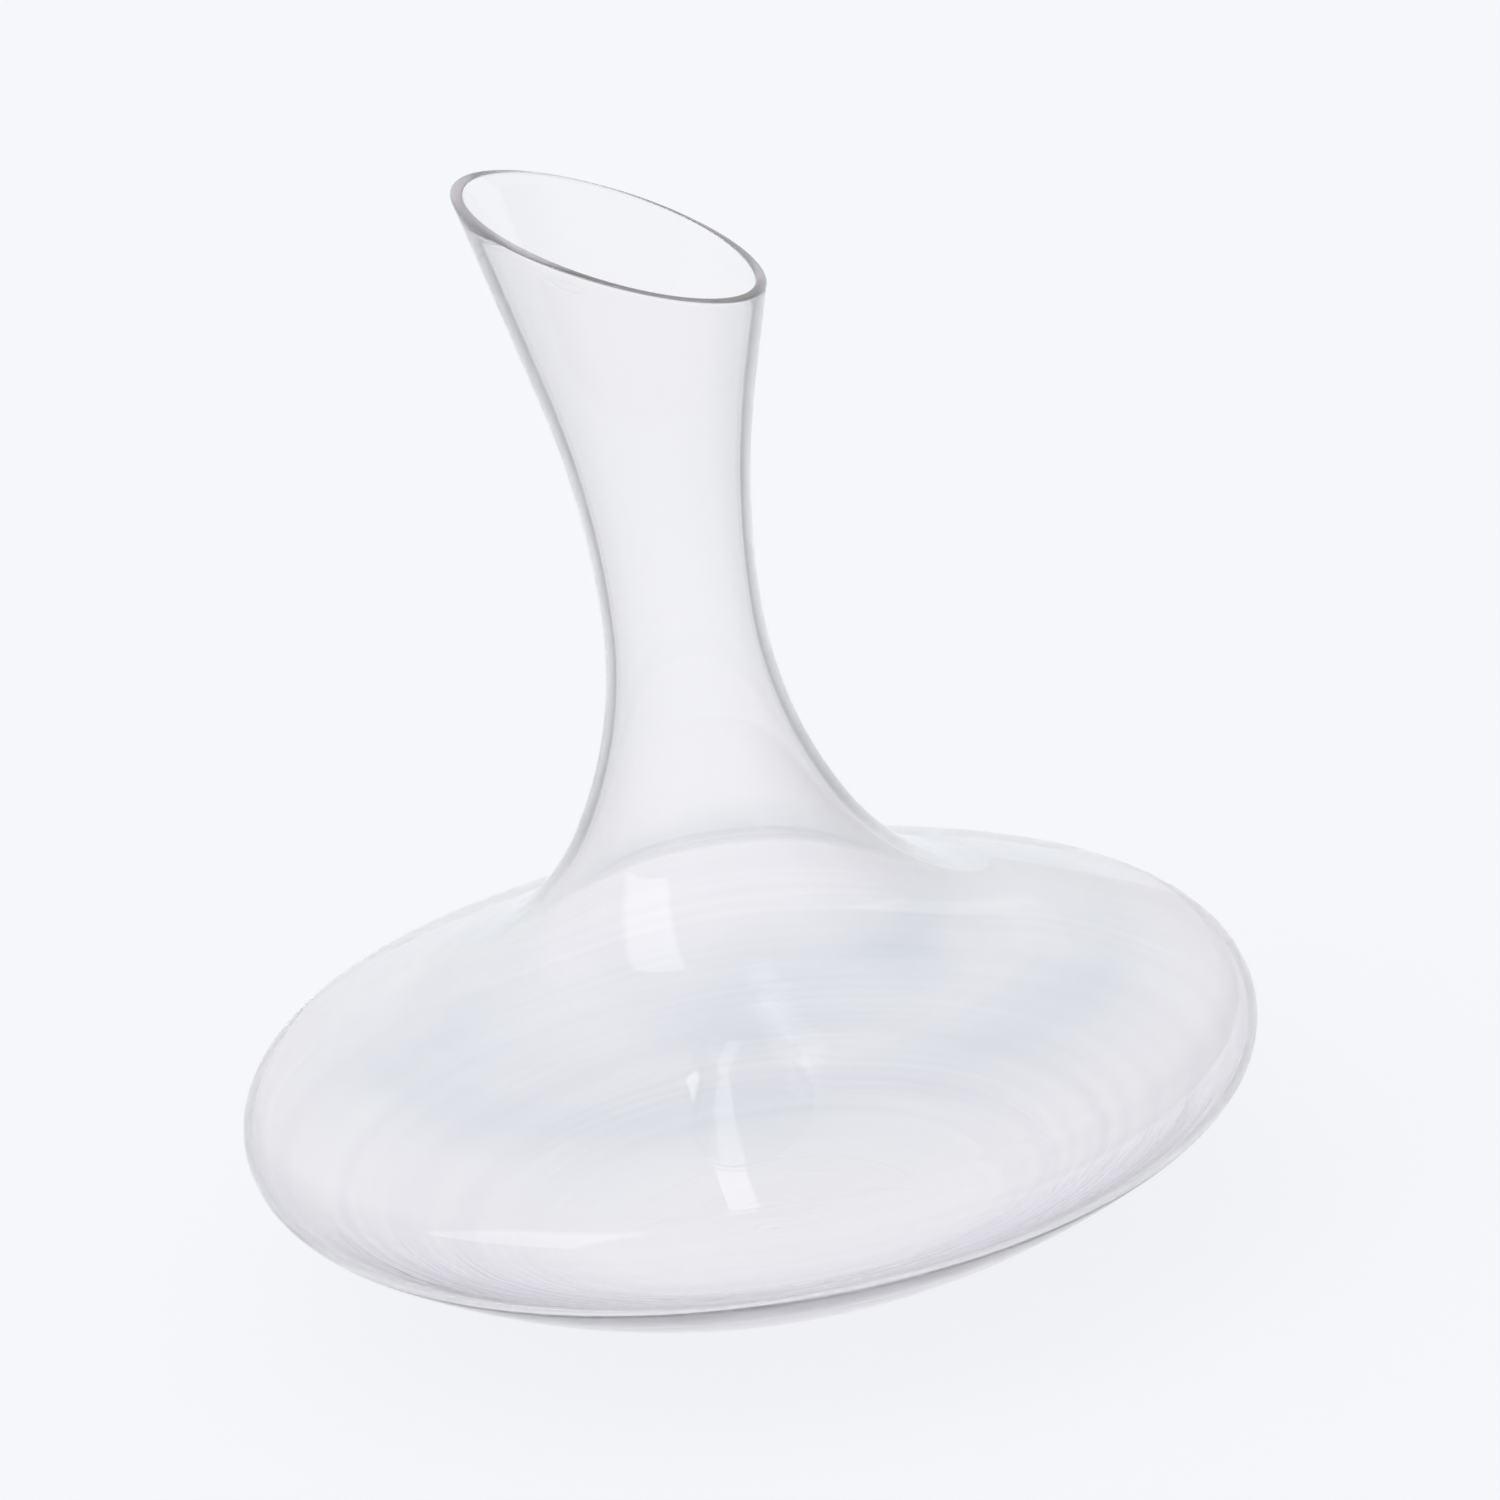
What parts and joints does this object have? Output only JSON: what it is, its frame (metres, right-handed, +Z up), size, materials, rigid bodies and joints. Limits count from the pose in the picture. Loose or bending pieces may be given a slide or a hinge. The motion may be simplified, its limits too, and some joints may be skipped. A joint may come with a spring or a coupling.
{
  "type": "wine decanter",
  "caption": "Clear blown-glass wine decanter with a broad flat bowl, a slim flared neck and a slanted mouth.",
  "frame": {"origin": "on the decanter's axis, at the plane of the flat ring that it stands on", "axes": "+Z up along the axis of the bowl and neck; the slanted mouth is highest towards -X and lowest towards +X"},
  "size_m": [0.22, 0.22, 0.246],
  "materials": {
    "clear_glass": "clear, fire-polished, with a smooth ground rim"
  },
  "bodies": {
    "root": {"glass_vessel": "clear_glass"}
  },
  "joints": []
}
